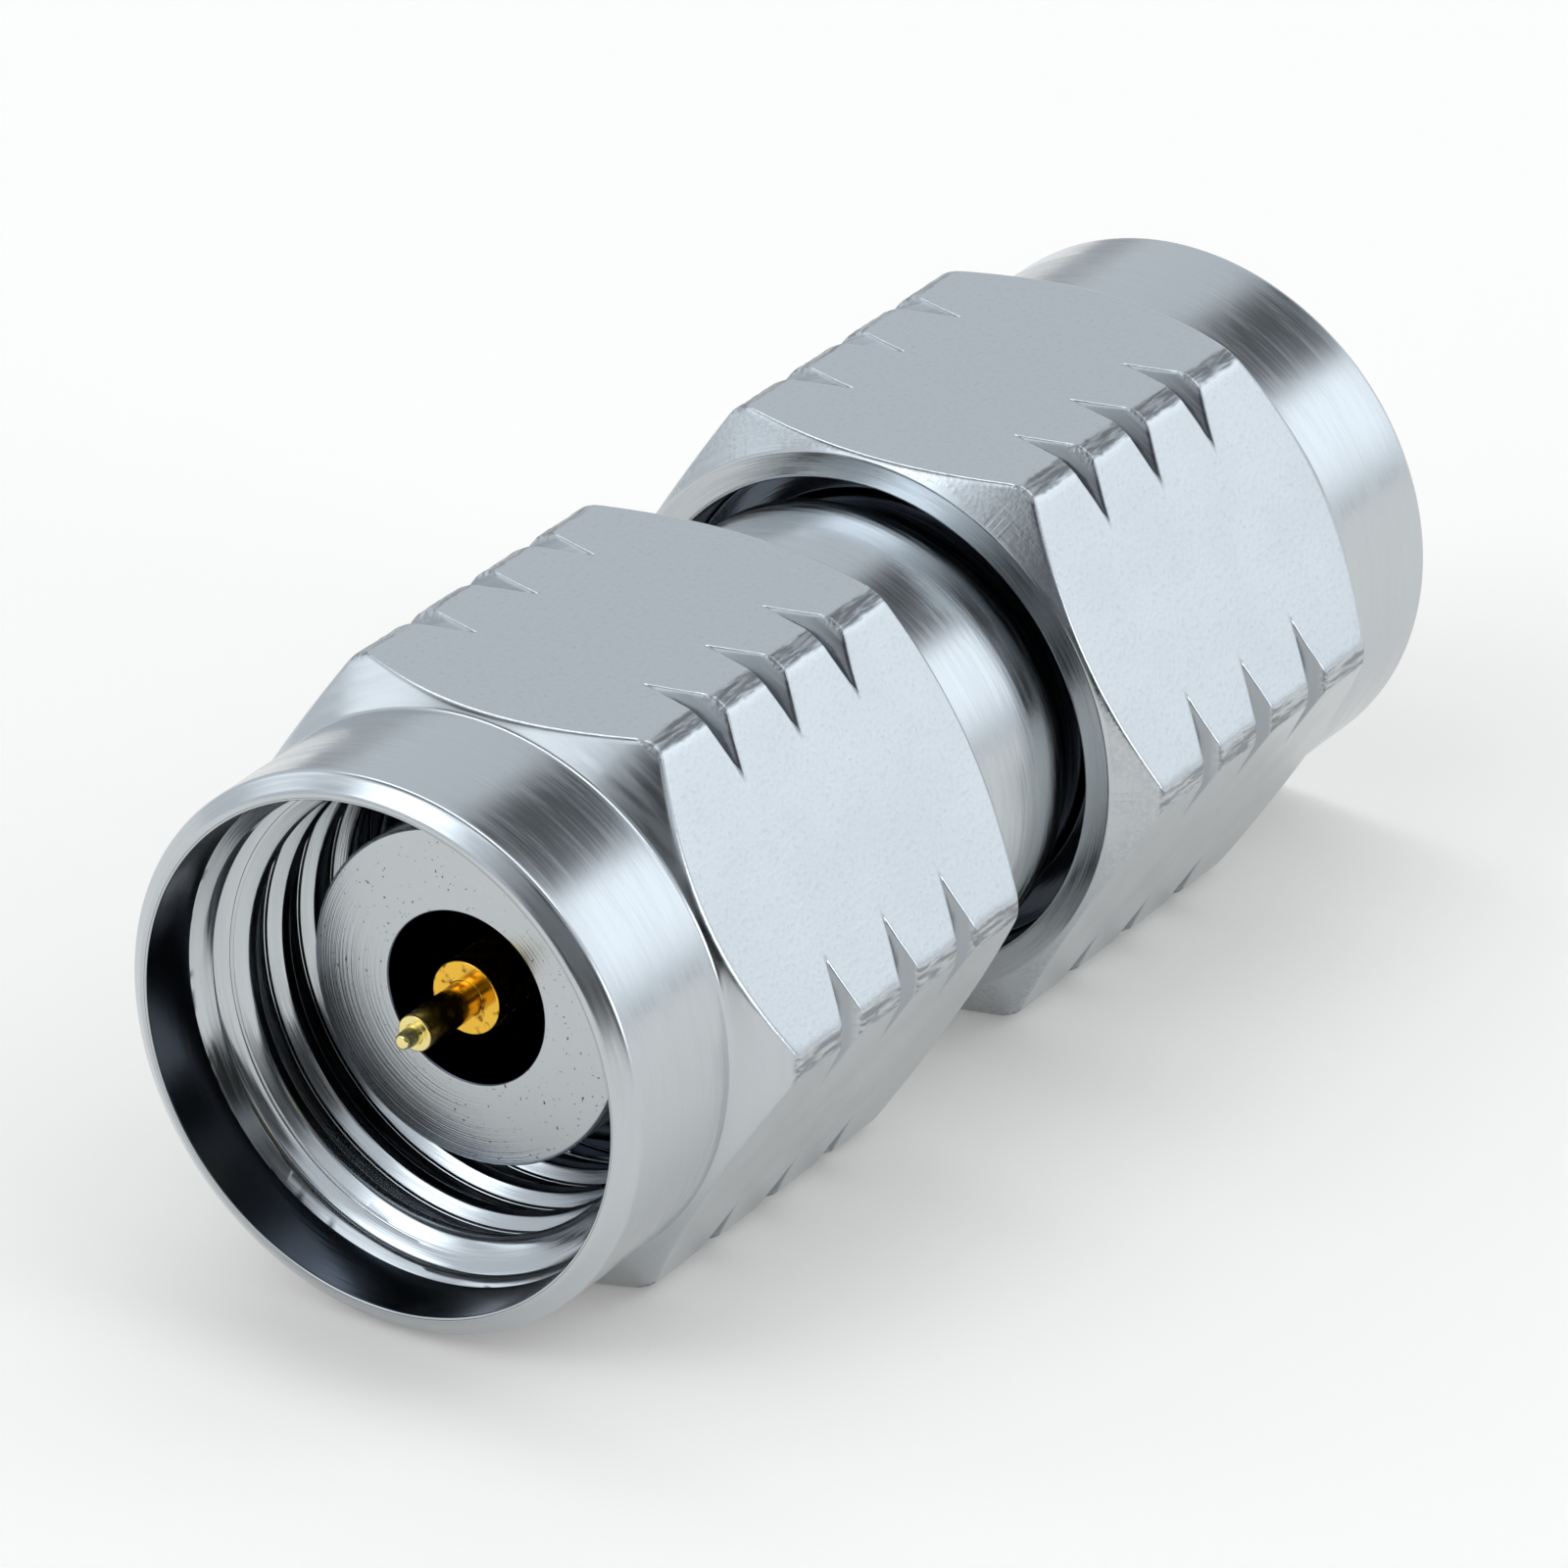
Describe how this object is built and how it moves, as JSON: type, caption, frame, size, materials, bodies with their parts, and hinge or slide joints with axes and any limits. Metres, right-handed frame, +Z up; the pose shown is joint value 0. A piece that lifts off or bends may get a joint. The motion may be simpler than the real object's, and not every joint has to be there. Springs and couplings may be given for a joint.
{
  "type": "coax adapter",
  "caption": "Straight coaxial adapter with a plug and a free-turning hexagon coupling nut at each end, notched nut corners and gold centre pins inside the mouths.",
  "frame": {"origin": "middle of the adapter, on the coaxial axis", "axes": "X along the coaxial axis with the front mouth at -X, +Z up through an upper flat of the hexagons"},
  "size_m": [0.02, 0.009, 0.008],
  "materials": {
    "nut_steel": "passivated stainless steel, milled flats and fine turning lines",
    "turned_steel": "passivated stainless steel, fine turned",
    "spring_steel": "spring-hard stainless steel",
    "gold_plate": "gold plate over beryllium copper",
    "bead_plastic": "machined amber engineering plastic"
  },
  "bodies": {
    "core": {"centre_barrel": "turned_steel", "centre_rod": "gold_plate", "front_outer_conductor": "turned_steel", "front_support_bead": "bead_plastic", "front_contact": "gold_plate", "rear_outer_conductor": "turned_steel", "rear_support_bead": "bead_plastic", "rear_contact": "gold_plate"},
    "front_ring": {"front_retaining_ring": "spring_steel"},
    "front_nut": {"front_coupling_nut": "nut_steel"},
    "rear_ring": {"rear_retaining_ring": "spring_steel"},
    "rear_nut": {"rear_coupling_nut": "nut_steel"}
  },
  "joints": [
    {"name": "front_nut_float", "type": "slide", "parent": "core", "child": "front_ring", "axis": [-1, 0, 0], "range_m": [-0.00015, 0.00015]},
    {"name": "front_nut_spin", "type": "hinge", "parent": "front_ring", "child": "front_nut", "pos_m": [-0.00358, 0, 0], "axis": [-1, 0, 0], "continuous": true},
    {"name": "rear_nut_float", "type": "slide", "parent": "core", "child": "rear_ring", "axis": [1, 0, 0], "range_m": [-0.00015, 0.00015]},
    {"name": "rear_nut_spin", "type": "hinge", "parent": "rear_ring", "child": "rear_nut", "pos_m": [0.00358, 0, 0], "axis": [1, 0, 0], "continuous": true}
  ]
}
